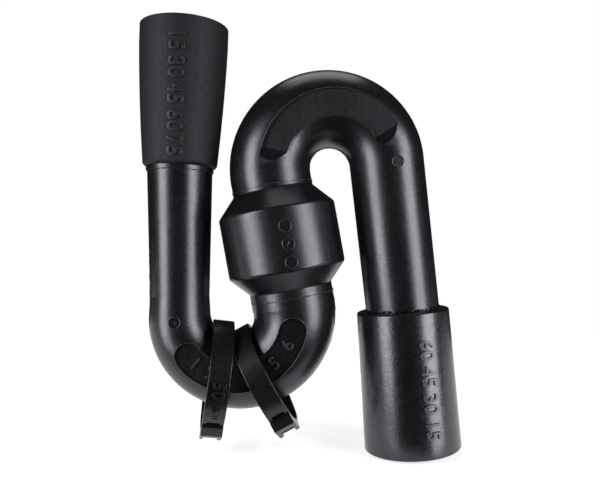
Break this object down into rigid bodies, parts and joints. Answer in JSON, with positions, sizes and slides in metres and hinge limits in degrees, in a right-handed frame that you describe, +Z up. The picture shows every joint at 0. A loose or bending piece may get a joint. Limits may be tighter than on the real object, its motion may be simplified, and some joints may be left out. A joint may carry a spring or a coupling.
{
  "type": "flexible s-trap",
  "caption": "Black rubber waste trap in an S: tapered inlet sleeve, lower bend, wide reseal chamber in the riser, upper bend, pipe socket, and loose hose clamps.",
  "frame": {"origin": "centre of the waste sleeve's open mouth", "axes": "+Z up as installed, +X from the waste to the outlet pipe, +Y towards the wall behind"},
  "size_m": [0.193, 0.0704, 0.2547],
  "materials": {
    "bend_rubber": "satin moulded",
    "sleeve_rubber": "fine leather grain",
    "clamp_nylon": "semi-gloss moulded"
  },
  "bodies": {
    "root": {"waste_sleeve": "sleeve_rubber", "lower_bend": "bend_rubber", "reseal_chamber": "bend_rubber", "upper_bend": "bend_rubber", "pipe_socket": "sleeve_rubber", "clamp_right": "clamp_nylon", "clamp_left": "clamp_nylon"}
  },
  "joints": []
}
